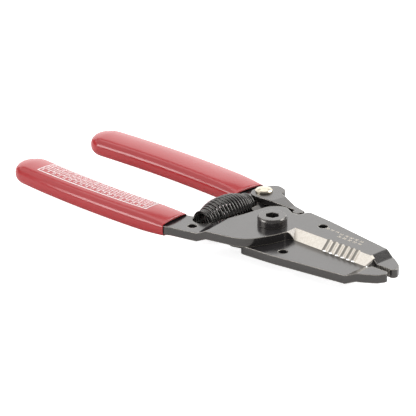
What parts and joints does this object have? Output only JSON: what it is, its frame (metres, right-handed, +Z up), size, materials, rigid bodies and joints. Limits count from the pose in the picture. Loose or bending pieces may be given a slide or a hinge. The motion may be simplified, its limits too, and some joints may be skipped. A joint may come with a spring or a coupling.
{
  "type": "wire stripper",
  "caption": "Plier-type wire stripper with stripping notches in a bevelled blade, serrated flat nose, barrel spring, thumb lock and sleeved handles.",
  "frame": {"origin": "on the pivot axis, on the lower face of the pivot nut, which the tool rests on", "axes": "+X to the jaw tips, +Y to the side of the far handle with the thumb lock, +Z up along the pivot axis; drawn as it lies on a table, open by 2 degrees"},
  "size_m": [0.1674, 0.0576, 0.0142],
  "materials": {
    "lever_steel": "polished black oxide",
    "bolt_steel": "satin black oxide",
    "spring_steel": "oiled spring wire",
    "rivet_nickel": "bright nickel",
    "grip_vinyl": "soft glossy vinyl"
  },
  "bodies": {
    "lower": {"lower_lever": "lever_steel", "lower_grip": "grip_vinyl", "pivot_bolt": "bolt_steel", "pivot_nut": "bolt_steel", "latch_rivet": "rivet_nickel", "return_spring": "spring_steel"},
    "upper": {"upper_lever": "lever_steel", "upper_grip": "grip_vinyl"},
    "latch": {"lock_latch": "lever_steel"}
  },
  "joints": [
    {"name": "latch_swing", "type": "hinge", "parent": "lower", "child": "latch", "pos_m": [-0.0218, 0.01895, 0.01036], "axis": [0, 0, 1], "range_deg": [0, 60]},
    {"name": "jaw_pivot", "type": "hinge", "parent": "lower", "child": "upper", "pos_m": [0, 0, 0.00762], "axis": [0, 0, 1], "range_deg": [-2, 18], "deforming": ["return_spring"]}
  ],
  "couplings": [
    {"joint": "jaw_pivot", "follows": "latch_swing", "ratio": 0.3}
  ]
}
